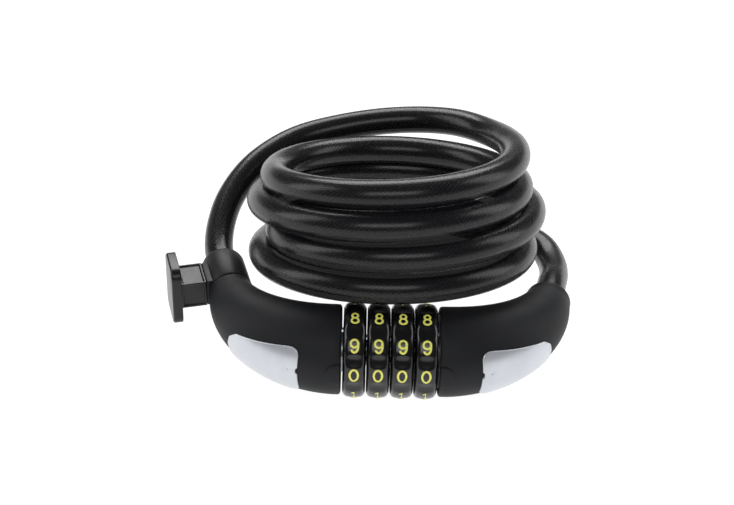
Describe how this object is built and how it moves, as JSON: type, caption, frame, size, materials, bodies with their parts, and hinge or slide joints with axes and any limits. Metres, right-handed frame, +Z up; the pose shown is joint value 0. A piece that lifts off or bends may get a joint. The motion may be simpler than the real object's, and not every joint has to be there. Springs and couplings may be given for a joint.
{
  "type": "bicycle cable combination lock",
  "caption": "Coiled steel cable lock with number wheels between two curved arms, and a collar with a T-slide for a frame bracket.",
  "frame": {"origin": "middle of the footprint of the lock head and T-slide, on the surface that the number wheels rest on; the cable isn't counted", "axes": "+X along the number wheels' axis from the T-slide towards the plug arm, +Y from the head towards the cable coil, +Z up"},
  "size_m": [0.1677, 0.1541, 0.0882],
  "materials": {
    "soft_black": "soft-touch matte",
    "silver_inlay": "satin silver",
    "cast_zinc": "as cast",
    "steel": "turned",
    "brass": "turned",
    "wheel_black": "gloss, yellow raised digits",
    "cable_sleeve": "clear smoky sleeve over twisted strand",
    "slide_black": "satin gloss",
    "collar_black": "matte"
  },
  "bodies": {
    "lock_body": {"left_arm_cover": "soft_black", "left_arm_inlay": "silver_inlay", "barrel_core": "cast_zinc", "spindle_tube": "steel", "detent_leaf": "steel", "wave_washer": "steel", "retaining_ring": "steel", "left_ferrule": "steel", "left_anchor_pin": "steel", "cable_lead": "cable_sleeve", "cable_coil": "cable_sleeve"},
    "plug": {"right_arm_cover": "soft_black", "right_arm_inlay": "silver_inlay", "plug_core": "cast_zinc", "lock_pin": "steel", "right_ferrule": "steel", "right_anchor_pin": "steel", "cable_tail": "cable_sleeve"},
    "bracket": {"bracket_collar": "collar_black", "bracket_slide": "slide_black"},
    "wheel_1": {"number_wheel_1": "wheel_black", "code_ring_1": "brass"},
    "wheel_2": {"number_wheel_2": "wheel_black", "code_ring_2": "brass"},
    "wheel_3": {"number_wheel_3": "wheel_black", "code_ring_3": "brass"},
    "wheel_4": {"number_wheel_4": "wheel_black", "code_ring_4": "brass"}
  },
  "joints": [
    {"name": "plug_pull", "type": "slide", "parent": "lock_body", "child": "plug", "axis": [1, 0, 0], "range_m": [0, 0.044]},
    {"name": "wheel_1_turn", "type": "hinge", "parent": "lock_body", "child": "wheel_1", "pos_m": [-0.00385, -0.0201, 0.0186], "axis": [1, 0, 0], "continuous": true},
    {"name": "wheel_2_turn", "type": "hinge", "parent": "lock_body", "child": "wheel_2", "pos_m": [0.00525, -0.0201, 0.0186], "axis": [1, 0, 0], "continuous": true},
    {"name": "wheel_3_turn", "type": "hinge", "parent": "lock_body", "child": "wheel_3", "pos_m": [0.01435, -0.0201, 0.0186], "axis": [1, 0, 0], "continuous": true},
    {"name": "wheel_4_turn", "type": "hinge", "parent": "lock_body", "child": "wheel_4", "pos_m": [0.02345, -0.0201, 0.0186], "axis": [1, 0, 0], "continuous": true},
    {"name": "collar_turn", "type": "hinge", "parent": "lock_body", "child": "bracket", "pos_m": [-0.05695, 0.02452, 0.0186], "axis": [-0.2588, 0.9659, 0], "range_deg": [-60, 60]}
  ]
}
